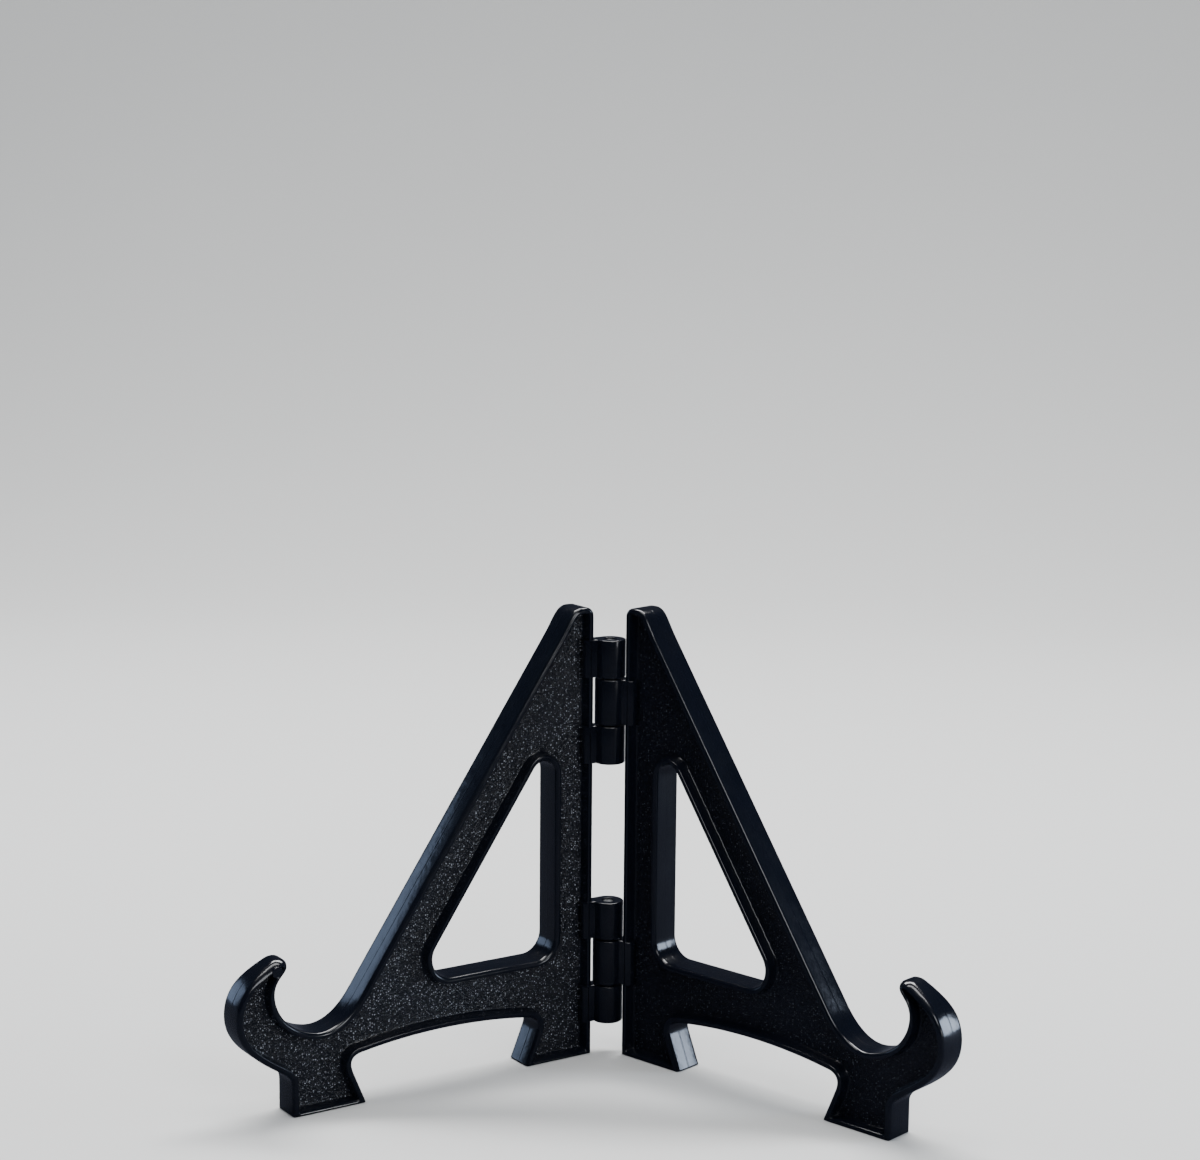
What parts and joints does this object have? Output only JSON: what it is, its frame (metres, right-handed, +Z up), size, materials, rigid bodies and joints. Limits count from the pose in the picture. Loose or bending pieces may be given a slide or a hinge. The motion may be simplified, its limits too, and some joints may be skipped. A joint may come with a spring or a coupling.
{
  "type": "plate display stand",
  "caption": "Folding plate display stand: I-section side frames with curled front hooks and sloped back rests, joined by a vertical pin hinge at the rear",
  "frame": {"origin": "on the table, under the middle of the stand's bounding box with the frames opened for use", "axes": "+X runs from the left hook to the right hook as the viewer sees them, +Z is up, and -Y is the front, towards the viewer"},
  "size_m": [0.1784, 0.069, 0.12],
  "materials": {
    "frame_plastic": "glossy rims and edges, fine spark-eroded texture on the recessed webs",
    "pin_steel": "plain drawn wire"
  },
  "bodies": {
    "left_side": {"left_frame": "frame_plastic", "lower_hinge_pin": "pin_steel", "upper_hinge_pin": "pin_steel"},
    "right_side": {"right_frame": "frame_plastic"}
  },
  "joints": [
    {"name": "frame_fold", "type": "hinge", "parent": "left_side", "child": "right_side", "pos_m": [0, 0.03051, 0], "axis": [0, 0, 1], "range_deg": [-104, 76]}
  ]
}
